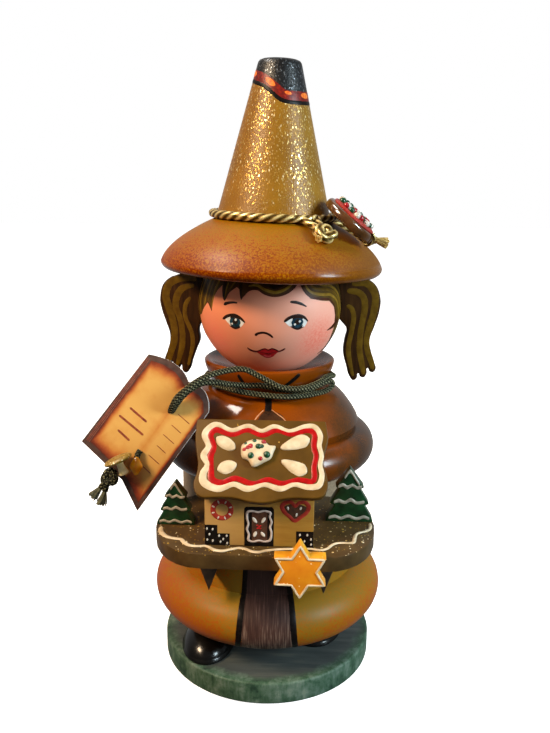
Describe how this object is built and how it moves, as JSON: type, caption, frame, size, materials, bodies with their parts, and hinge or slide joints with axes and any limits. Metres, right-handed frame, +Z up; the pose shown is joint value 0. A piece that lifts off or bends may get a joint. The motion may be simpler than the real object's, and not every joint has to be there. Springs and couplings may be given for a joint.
{
  "type": "incense smoker figure",
  "caption": "Turned wooden incense smoker: a girl in a tall hat carries a tray with a gingerbread house; the upper figure lifts off to load an incense cone.",
  "frame": {"origin": "centre of the base's underside, on the axis of the turned figure", "axes": "+Z up along the turned axis, -Y the way the face looks, +X to the viewer's right"},
  "size_m": [0.0756, 0.0859, 0.1598],
  "materials": {
    "green_paint": "painted green, streaky",
    "black_gloss_paint": "gloss black paint",
    "ochre_lacquer": "airbrushed ochre to orange, satin lacquer",
    "brass_plate": "pressed sheet",
    "steel_tack": "bright",
    "plain_beech": "bare",
    "gingerbread_paint": "brown paint with gold glitter",
    "tan_wood": "bare wood with painted motifs",
    "white_icing": "thick raised paint",
    "fir_paint": "dark green paint",
    "star_paint": "orange paint, pale edges",
    "rust_lacquer": "rust airbrush, gloss lacquer",
    "skin_paint": "painted face",
    "hair_paint": "striped brown paint",
    "orange_lacquer": "speckled orange lacquer",
    "gold_cord": "twisted metallic cord",
    "biscuit_lacquer": "gloss brown",
    "red_icing": "raised red paint and sugar beads",
    "olive_cord": "braided cord",
    "tag_card": "printed card, left bare of lettering",
    "amber_bead": "glossy bead",
    "gold_glitter": "gold glitter cap, cream stem"
  },
  "bodies": {
    "lower": {"base_disc": "green_paint", "base_dowel": "plain_beech", "shoe_left": "black_gloss_paint", "shoe_right": "black_gloss_paint", "skirt": "ochre_lacquer", "cone_plate": "brass_plate", "plate_tack": "steel_tack", "tray_board": "gingerbread_paint", "tray_dowel_left": "plain_beech", "tray_dowel_right": "plain_beech", "tray_bracket_left": "ochre_lacquer", "tray_bracket_right": "ochre_lacquer", "house_body": "tan_wood", "roof_front": "gingerbread_paint", "roof_back": "gingerbread_paint", "roof_sweet": "white_icing", "tree_left": "fir_paint", "tree_right": "fir_paint", "star": "star_paint"},
    "upper": {"cape": "rust_lacquer", "collar": "rust_lacquer", "head": "skin_paint", "pigtail_left": "hair_paint", "pigtail_right": "hair_paint", "pigtail_peg_left": "plain_beech", "pigtail_peg_right": "plain_beech", "hat_brim": "orange_lacquer", "hat_cone": "ochre_lacquer", "hat_cord": "gold_cord", "hat_cord_knot": "gold_cord", "hat_cord_tail": "gold_cord", "biscuit": "biscuit_lacquer", "biscuit_icing": "red_icing", "neck_cord": "olive_cord"},
    "tag": {"tag_card": "tag_card", "tag_tail_back": "olive_cord", "tag_tail_front": "olive_cord", "tag_bead": "amber_bead", "tag_mushroom": "gold_glitter", "tag_knot": "olive_cord"}
  },
  "joints": [
    {"name": "upper_lift", "type": "slide", "parent": "lower", "child": "upper", "axis": [0, 0, 1], "range_m": [0, 0.06]},
    {"name": "tag_swing", "type": "hinge", "parent": "upper", "child": "tag", "pos_m": [-0.0228, -0.024, 0.077], "axis": [0, 0.9511, -0.309], "range_deg": [0, 25]}
  ]
}
